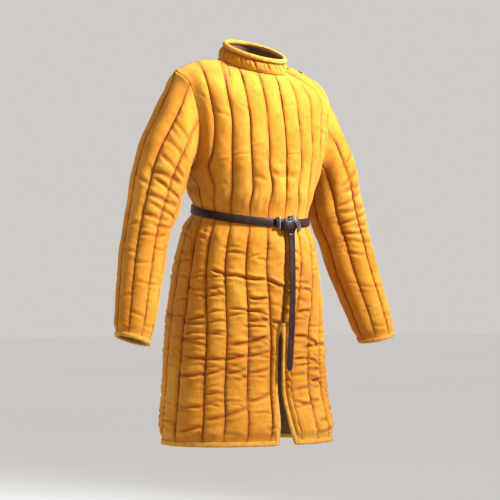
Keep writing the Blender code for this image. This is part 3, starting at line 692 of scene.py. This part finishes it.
def tape_sections(points, ways, seed):
    """Sections of a folded tape; points[along][across] lie on the cloth, ways point off it."""
    rng = np.random.default_rng(seed)
    along = np.arange(len(points))[:, None] * ROW_SPACING
    across = np.linspace(0, 1, points.shape[1])
    lift = TAPE * (1 + 0.10 * ripples(along, across, 0.03, 1.5, rng))
    lift[:, 0] *= 0.55
    lift[:, -1] *= 0.55
    top = points + ways * (lift + SEAM_GAP)[..., None]
    low = points + ways * SEAM_GAP / 2
    return np.concatenate([top, low[:, ::-1]], axis=1)


def over_edge(outer, inner, normal, steps_out, steps_in):
    """Points and directions down the outside, round the rim and up the inside of an edge."""
    down = unit(outer[0] - outer[1])
    points = [*outer[steps_out::-1], (outer[0] + inner[0]) / 2, *inner[:steps_in + 1]]
    ways = [*normal[steps_out:0:-1], unit(normal[0] + down), down, unit(down - normal[0]),
            *-normal[1:steps_in + 1]]
    return np.stack(points, axis=1), np.stack(ways, axis=1)


def on_grid(grid, row, col):
    """Point between the points of a grid."""
    r, c = int(row), int(col)
    u, v = row - r, col - c
    low = grid[r, c] * (1 - v) + grid[r, c + 1] * v
    high = grid[r + 1, c] * (1 - v) + grid[r + 1, c + 1] * v
    return low * (1 - u) + high * u


def slit_arch(outer, normal):
    """The tape's quarter turn round the top of the slit."""
    spacing = np.linalg.norm(outer[SLIT_ROW, 8] - outer[SLIT_ROW, 0]) / 8
    rows = np.arange(len(LEVELS))
    places = [[(np.interp(LEVELS[SLIT_ROW] + reach * sin(angle), LEVELS, rows),
                reach * cos(angle) / spacing) for reach in np.linspace(SLIT_TAPE, 0.0004, 7)]
              for angle in np.linspace(0, pi / 2, 14)]
    points, ways = (np.array([[on_grid(grid, *place) for place in line] for line in places])
                    for grid in (outer, normal))
    return points, unit(ways)


def build_tapes(made, look):
    """Tapes folded over the hems, the slit, the cuffs and the collar."""
    tapes = {}

    def edge_tape(name, surfaces, steps_out, steps_in, seed, more=(), rings=False):
        path = over_edge(*surfaces, steps_out, steps_in)
        tapes[name] = sweep(name, [tape_sections(*path, seed), *more], [look], rings)

    first = int(SLIT_TAPE / COLUMN_SPACING)
    for side in ("right", "left"):
        surfaces = made["front_" + side][1:4]
        edge_tape("hem_binding_front_" + side, [part[:, first + 1:] for part in surfaces], 4, 4, 41)
        arch = tape_sections(*slit_arch(surfaces[0], surfaces[2]), 43)
        edge = [np.swapaxes(part[:SLIT_ROW + 1], 0, 1) for part in surfaces]
        edge_tape("slit_binding_" + side, edge, first, 5, 42, more=[arch])
    edge_tape("hem_binding_back", made["back"][1:4], 4, 4, 44)
    for side in ("right", "left"):
        cuff = [part[::-1] for part in made["sleeve_" + side][1:4]]
        edge_tape("cuff_binding_" + side, cuff, 4, 4, 45, rings=True)
    edge_tape("collar_binding", [part[::-1] for part in made["collar"][1:4]], 4, 3, 46, rings=True)
    return tapes


def belt_ring(level, off):
    """Points round the waist at a level, moved out from the inner surface of the body."""
    places = np.linspace(0, 1, 101)
    front, back = ([body_line(s, in_front, [level])[0] for s in places] for in_front in (True, False))
    half = np.array(front + back[:-1][::-1])
    ring = np.concatenate([half, mirrored(half[1:-1][::-1])])
    across = np.roll(ring, -1, 0) - np.roll(ring, 1, 0)
    normal = unit(np.cross(across, (0, 0, 1)))
    normal[np.sum(normal * ring, axis=1) < 0] *= -1
    return ring + normal * off


def strap_profile(half_width, thick):
    """Section of a strap with rounded edges: pairs of place across and height."""
    edge = 0.0009
    return [(-half_width, 0.3 * thick), (-half_width + edge, 0), (half_width - edge, 0),
            (half_width, 0.3 * thick), (half_width, 0.75 * thick), (half_width - edge, thick),
            (-half_width + edge, thick), (-half_width, 0.75 * thick)]


def strap(path, off, half_width, thick):
    """Sections of a strap along a path; off points away from its lower face."""
    path = np.array(path, float)
    off = unit(np.broadcast_to(np.array(off, float), path.shape))
    run = unit(np.gradient(path, axis=0))
    side = unit(np.cross(run, off))
    widths = np.broadcast_to(half_width, len(path))
    return np.array([[path[i] + side[i] * a + off[i] * b for a, b in strap_profile(widths[i], thick)]
                     for i in range(len(path))])


def smooth_path(points, count=40):
    points = np.array(points, float)
    keys = np.arange(len(points), dtype=float)
    slope = slopes(keys, points)
    return smooth_curve(keys, points, slope, slope, np.linspace(0, keys[-1], count))


def tube(path, radius, sides=14):
    """Sections of a round bar along a path in a plane of constant x."""
    run = unit(np.gradient(path, axis=0))
    side = np.array([1.0, 0.0, 0.0])
    off = np.cross(side, run)
    angles = np.linspace(0, 2 * pi, sides, endpoint=False)
    return np.array([[path[i] + radius * (cos(a) * side * 1.5 + sin(a) * off[i]) for a in angles]
                     for i in range(len(path))])


def tenths(points):
    """Smooth path through points in tenths of a millimetre."""
    return smooth_path(np.array(points) / 10000)


def upright(x, y, z, half):
    """Path up through a point; half holds y and height of its lower end, from tip to middle."""
    ends = [(x, y + off, z - rise) for off, rise in half]
    ends += [(x, y + off, z + rise) for off, rise in half[-2::-1]]
    return smooth_path(ends)


def knot_bands(centre):
    """The folded strap of the knot: one band down through it, one round it, one end across."""
    down = tenths([(50, 40, 155), (50, -10, 185), (50, -50, 120), (50, -58, 0), (45, -52, -120),
                   (40, -25, -185)])
    about = tenths([(-215, 35, -40), (-200, -30, -35), (-120, -78, -20), (20, -90, 10),
                    (145, -78, 40), (210, -15, 60), (220, 35, 60)])
    across = tenths([(10, -60, 170), (80, -98, 135), (150, -118, 35), (200, -95, -80),
                     (225, -60, -165)])
    bands = [(down, (0, 1.6, 1), 0.0095), (about, (1, 2.5, 0), 0.0105), (across, (0.25, 3, 0.1), 0.0075)]
    return [strap(path + centre, path * flat, half_width, BELT_THICK) for path, flat, half_width in bands]


def build_belt(leather, wear_and_painted_highlight, metal):
    sections = np.stack([belt_ring(BELT_LEVEL + a, BELT_OFF + b)
                         for a, b in strap_profile(BELT_HEIGHT / 2, BELT_THICK)], axis=1)
    made = {"belt": sweep("belt", [sections], [leather], rings=True)}
    face_y, face_z = belt_ring(BELT_LEVEL, BELT_OFF + BELT_THICK)[0, 1:]
    knot_y = face_y - KNOT_SIZE[1] / 2 - 0.0006
    down, about, across = knot_bands((KNOT_X, knot_y, face_z - 0.004))
    core = smooth_path([(KNOT_X - 0.017, knot_y + 0.001, face_z - 0.004),
                        (KNOT_X + 0.017, knot_y + 0.001, face_z - 0.002)], 8)
    core = strap(core, (0, -1, 0), 0.0125, 0.004)
    # the end across is lighter: leather wear, and a painted highlight of its folded face
    made["belt_knot"] = sweep("belt_knot", [core, down, about, across], [leather, wear_and_painted_highlight])
    frame_x = KNOT_X - KNOT_SIZE[0] / 2 - 0.0045
    bar = upright(frame_x, face_y, face_z, [(-0.0018, 0.0128), (-0.0032, 0.0134), (-0.0038, 0.0110),
                                            (-0.0038, 0)])
    made["belt_buckle"] = sweep("belt_buckle", [tube(bar, 0.0016)], [metal])
    loop_x, loop_y, loop_z = frame_x - 0.0073, face_y - 0.0017, face_z + 0.001
    loop = upright(loop_x, loop_y, loop_z, [(0.0008, 0.0112), (-0.0004, 0.0118), (-0.0008, 0.008),
                                            (-0.0010, 0)])
    away = loop * np.array([0, 1, 1]) - np.array([0, loop_y + 0.004, loop_z])
    made["belt_keeper"] = sweep("belt_keeper", [strap(loop, away, 0.0042, 0.0018)], [leather])
    top = face_z - 0.004 - KNOT_SIZE[2] / 2 - 0.0018
    tail_y = knot_y - 0.001
    length = top - TAIL_END
    shares = np.concatenate([np.linspace(0, 0.955, 60), 1 - 0.045 * np.linspace(0.95, 0, 14) ** 1.6])
    path = [(KNOT_X + 0.005 - 0.008 * u**2, tail_y - 0.005 * sin(pi * u), top - length * u)
            for u in shares]
    from_tip = length * (1 - shares)
    widths = TAIL_HALF_WIDTH * np.sqrt(np.maximum(1 - np.maximum(1 - from_tip / 0.016, 0) ** 2, 0.03))
    made["belt_tail"] = sweep("belt_tail", [strap(path, (0, -1, 0), widths, BELT_THICK)], [leather])
    return made


def build_shoulder_tabs(made, leather, metal):
    """Two leather tabs with domed studs that close the left shoulder seam."""
    tabs = {}
    middle = len(COLUMNS) - 1
    for number, share in (("1", 0.65), ("2", 0.80)):
        column = round(share * middle)
        path, off = [], []
        for piece, start, steps in ((made["front_left"], column, (-4, -2, -1)),
                                    (made["back"], middle + column, range(-2, -20, -1))):
            base, normal, thickness = piece[2:]
            for r in steps:
                high = thickness[r, start - 3:start + 4].max() + 2 * SEAM_GAP
                path.append(base[r, start] + normal[r, start] * high)
                off.append(normal[r, start])
        smooth = np.array(path)
        for _ in range(6):
            smooth[1:-1] = (smooth[:-2] + 2 * smooth[1:-1] + smooth[2:]) / 4
        name = "shoulder_tab_" + number
        tabs[name] = sweep(name, [strap(smooth, off, TAB_HALF_WIDTH, TAB_THICK)], [leather])
        place = smooth[8] + off[8] * (TAB_THICK + SEAM_GAP)
        shape = bmesh.new()
        bmesh.ops.create_uvsphere(shape, u_segments=20, v_segments=10, radius=STUD_RADIUS)
        for v in shape.verts:
            v.co.z = max(v.co.z, 0) * STUD_HEIGHT / STUD_RADIUS
        bmesh.ops.remove_doubles(shape, verts=shape.verts, dist=1e-6)
        mesh = bpy.data.meshes.new("shoulder_stud_" + number)
        shape.to_mesh(mesh)
        shape.free()
        mesh.shade_smooth()
        mesh.materials.append(metal)
        stud = add_object("stud", mesh)
        stud.rotation_euler = Vector(off[8]).to_track_quat("Z", "Y").to_euler()
        stud.location = place
        tabs["shoulder_stud_" + number] = stud
    return tabs


def new_material(name, roughness):
    """A material with its shader, and a helper that adds a node and sets its inputs."""
    material = bpy.data.materials.new(name)
    material.use_nodes = True
    nodes, links = material.node_tree.nodes, material.node_tree.links
    shader = nodes["Principled BSDF"]
    shader.inputs["Roughness"].default_value = roughness

    def add(kind, inputs=None, **settings):
        node = nodes.new(kind)
        for key, value in settings.items():
            setattr(node, key, value)
        for key, value in (inputs or {}).items():
            if isinstance(value, bpy.types.NodeSocket):
                links.new(value, node.inputs[key])
            else:
                node.inputs[key].default_value = value
        return node

    return material, shader, add, links


def noise(add, vector, scale, detail=2.0, rough=0.5):
    node = add("ShaderNodeTexNoise", {"Vector": vector, "Scale": scale, "Detail": detail,
                                      "Roughness": rough})
    return node.outputs["Fac"]


def maths(add, operation, a, b=0.0):
    return add("ShaderNodeMath", {0: a, 1: b}, operation=operation).outputs[0]


def ranged(add, value, low, high, to_low, to_high):
    node = add("ShaderNodeMapRange", {"Value": value, "From Min": low, "From Max": high,
                                      "To Min": to_low, "To Max": to_high},
               interpolation_type="SMOOTHSTEP")
    return node.outputs["Result"]


def mixed(add, share, a, b):
    """Colour between a and b; a and b are sockets or colours."""
    node = add("ShaderNodeMix", data_type="RGBA")
    node.inputs[0].default_value = 0
    for key, value in ((0, share), (6, a), (7, b)):
        if isinstance(value, bpy.types.NodeSocket):
            node.id_data.links.new(value, node.inputs[key])
        else:
            node.inputs[key].default_value = value if key == 0 else (*value, 1)
    return node.outputs[2]


def stretched(add, vector, scale):
    return add("ShaderNodeVectorMath", {0: vector, 1: scale}, operation="MULTIPLY").outputs[0]


def quilted_cloth():
    """Matt linen, its threads, and a dark line on each line of stitching: the stitches, with painted
    shade of their valley.
    """
    material, shader, add, links = new_material("quilted cloth", 0.88)
    uv = add("ShaderNodeUVMap", uv_map="quilt").outputs["UV"]
    place = add("ShaderNodeTexCoord").outputs["Object"]
    split = add("ShaderNodeSeparateXYZ", {0: uv})
    across, along = split.outputs[0], split.outputs[1]
    flat = add("ShaderNodeCombineXYZ", {0: maths(add, "MULTIPLY", across, CHANNEL_WIDTH), 1: along})
    flat = flat.outputs[0]
    sway = ranged(add, noise(add, flat, 26.0), 0.3, 0.7, -0.028, 0.028)
    shifted = maths(add, "ADD", maths(add, "ADD", across, sway), 0.5)
    beside = maths(add, "ABSOLUTE", maths(add, "SUBTRACT", maths(add, "FRACT", shifted), 0.5))
    metres = maths(add, "MULTIPLY", beside, CHANNEL_WIDTH)
    # dark line of stitching: the stitches, and painted shade of the valley they pull into the padding
    thread_and_valley_shade = ranged(add, metres, 0.0005, 0.0015, 1.0, 0.0)
    stitch = maths(add, "FRACT", maths(add, "MULTIPLY", along, 210.0))
    stitch = ranged(add, stitch, 0.70, 0.85, 1.0, 0.45)
    thread_and_valley_shade = maths(add, "MULTIPLY", thread_and_valley_shade, stitch)
    # painted shade: the cloth darkens within 9 mm of each line of stitching, down in the channels'
    # valleys
    painted_groove_shade = ranged(add, metres, 0.0, 0.009, 1.0, 0.0)

    warp = noise(add, stretched(add, flat, (1500, 60, 1)), 1.0, 2.0)
    weft = noise(add, stretched(add, flat, (70, 1300, 1)), 1.0, 2.0)
    weave = maths(add, "ADD", warp, weft)
    patches = noise(add, place, 5.0, 3.0, 0.6)
    mottle = noise(add, place, 38.0, 4.0, 0.65)
    slubs = noise(add, stretched(add, flat, (420, 26, 1)), 1.0, 3.0, 0.6)
    colour = mixed(add, ranged(add, patches, 0.35, 0.65, 0.0, 1.0), CLOTH_DEEP, CLOTH_LIGHT)
    colour = mixed(add, ranged(add, mottle, 0.40, 0.72, 0.0, 0.32), colour, CLOTH_SHADE)
    colour = mixed(add, ranged(add, slubs, 0.45, 0.72, 0.0, 0.34), colour, CLOTH_SHADE)
    colour = mixed(add, ranged(add, weave, 0.70, 1.30, 0.0, 0.22), colour, CLOTH_SHADE)
    # painted shade in the valleys beside the stitching
    colour = mixed(add, maths(add, "MULTIPLY", painted_groove_shade, 0.62), colour, CLOTH_SHADE)
    # painted shade: the cloth darkens towards CLOTH_SHADE in the crease dips
    fold = add("ShaderNodeUVMap", uv_map="fold").outputs["UV"]
    fold = add("ShaderNodeSeparateXYZ", {0: fold}).outputs[0]
    colour = mixed(add, ranged(add, fold, 0.10, 0.85, 0.0, 0.80), colour, CLOTH_SHADE)
    colour = mixed(add, maths(add, "MULTIPLY", thread_and_valley_shade, 0.85), colour, THREAD_AND_VALLEY_SHADE)
    links.new(colour, shader.inputs["Base Color"])
    relief = maths(add, "SUBTRACT", maths(add, "ADD", weave, maths(add, "MULTIPLY", mottle, 1.4)),
                   maths(add, "MULTIPLY", thread_and_valley_shade, 1.6))
    bump = add("ShaderNodeBump", {"Height": relief, "Strength": 0.55, "Distance": 0.0012})
    links.new(bump.outputs[0], shader.inputs["Normal"])
    shader.inputs["Sheen Weight"].default_value = 0.14
    shader.inputs["Sheen Roughness"].default_value = 0.5
    shader.inputs["Sheen Tint"].default_value = (1.0, 0.75, 0.35, 1)
    shader.inputs["Specular IOR Level"].default_value = 0.18
    return material


def plain_look(name, colour, darker, roughness, scale, bump_depth, metallic=0.0, shine=0.5):
    """A material whose colour and relief vary softly over its surface."""
    material, shader, add, links = new_material(name, roughness)
    place = add("ShaderNodeTexCoord").outputs["Object"]
    fine = noise(add, place, scale, 4.0, 0.6)
    broad = noise(add, place, scale / 9, 3.0, 0.6)
    links.new(mixed(add, ranged(add, broad, 0.35, 0.68, 0.0, 1.0), colour, darker),
              shader.inputs["Base Color"])
    rough = ranged(add, fine, 0.3, 0.7, roughness - 0.08, min(roughness + 0.10, 1.0))
    links.new(rough, shader.inputs["Roughness"])
    bump = add("ShaderNodeBump", {"Height": fine, "Strength": 0.5, "Distance": bump_depth})
    links.new(bump.outputs[0], shader.inputs["Normal"])
    shader.inputs["Metallic"].default_value = metallic
    shader.inputs["Specular IOR Level"].default_value = shine
    return material


def area_light(name, place, target, size, power, colour, spread=180):
    light = bpy.data.lights.new(name, "AREA")
    light.size = size
    light.energy = power
    light.color = colour
    light.spread = radians(spread)
    lamp = add_object(name, light)
    lamp.location = place
    lamp.rotation_euler = (Vector(target) - Vector(place)).to_track_quat("-Z", "Y").to_euler()


def build_stage():
    """Floor, world, lamps and the camera of the photograph."""
    size = 40.0
    mesh = bpy.data.meshes.new("floor")
    corners = [(-size, -size), (size, -size), (size, size), (-size, size)]
    mesh.from_pydata([(x, y, FLOOR_LEVEL) for x, y in corners], [], [(0, 1, 2, 3)])
    mesh.materials.append(plain_look("floor", (0.96, 0.96, 0.96), (0.94, 0.94, 0.94), 0.9, 3.0, 0.0002))
    floor = add_object("floor", mesh)
    world = bpy.data.worlds.new("studio")
    bpy.context.scene.world = world
    world.use_nodes = True
    background = world.node_tree.nodes["Background"]
    background.inputs["Color"].default_value = (1.0, 0.965, 0.92, 1)
    background.inputs["Strength"].default_value = WORLD_STRENGTH
    right = Vector((cos(VIEW_AZIMUTH), sin(VIEW_AZIMUTH), 0))
    near = Vector((sin(VIEW_AZIMUTH), -cos(VIEW_AZIMUTH), 0))
    centre = Vector((0, 0, -0.35))
    key_place = centre + right * 2.0 + near * 0.95 + Vector((0, 0, 1.75))
    area_light("key", key_place, Vector((0, 0, 0.08)), 0.6, KEY_POWER, (0.97, 1.02, 1.08), 60)
    fill_place = centre - right * 2.2 + near * 1.6 + Vector((0, 0, 1.5))
    area_light("fill", fill_place, centre, 1.0, FILL_POWER, (1.0, 0.95, 0.88))
    camera = add_object("camera", bpy.data.cameras.new("camera"))
    camera.data.lens = 36 * VIEW_DISTANCE / VIEW_WIDTH
    place = near * VIEW_DISTANCE + Vector((0, 0, VIEW_HEIGHT))
    camera.location = place
    aim = Vector((0, 0, VIEW_TARGET))
    camera.rotation_euler = (aim - place).to_track_quat("-Z", "Y").to_euler()
    bpy.context.scene.camera = camera
    bpy.context.scene.view_settings.view_transform = "Standard"


cloth = quilted_cloth()
# painted shade: the inner faces are dark brown to stand in for the shade inside the hollow garment
inside_painted_shade = plain_look("inside_painted_shade", (0.11, 0.064, 0.026), (0.085, 0.047, 0.019), 0.92, 420.0, 0.0006)
edging = plain_look("binding", (0.51, 0.23, 0.020), (0.40, 0.16, 0.010), 0.85, 700.0, 0.0007)
leather = plain_look("leather", LEATHER_DARK, LEATHER_WORN, 0.44, 330.0, 0.0005, shine=0.22)
# lighter leather for the knot's end across: wear, and a painted highlight of its folded face
wear_and_painted_highlight = plain_look("worn leather", (0.095, 0.058, 0.052), (0.040, 0.022, 0.019), 0.46, 330.0, 0.0004,
                  shine=0.35)
metal = plain_look("metal", (0.52, 0.50, 0.45), (0.34, 0.31, 0.27), 0.30, 260.0, 0.0002, 1.0)

grids, along_sleeve = build_grids()
looks = [cloth, inside_painted_shade]
panels = build_panels(grids, looks) | build_sleeves(grids, along_sleeve, looks)
panels |= build_collar(grids, looks)
tapes = build_tapes(panels, edging)
belt = build_belt(leather, wear_and_painted_highlight, metal)
tabs = build_shoulder_tabs(panels, leather, metal)

# Each look stands in for its part: named after it, the part hidden, and hung on the root body
pieces = {name: entry[0] for name, entry in panels.items()} | tapes | belt | tabs
for name, piece in pieces.items():
    piece.name = name + "_look"
    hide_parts(name)
    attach(piece, "root")
    if name in panels:
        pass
    elif name in tapes:
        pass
    elif name == "belt_buckle" or name.startswith("shoulder_stud"):
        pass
    else:
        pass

build_stage()
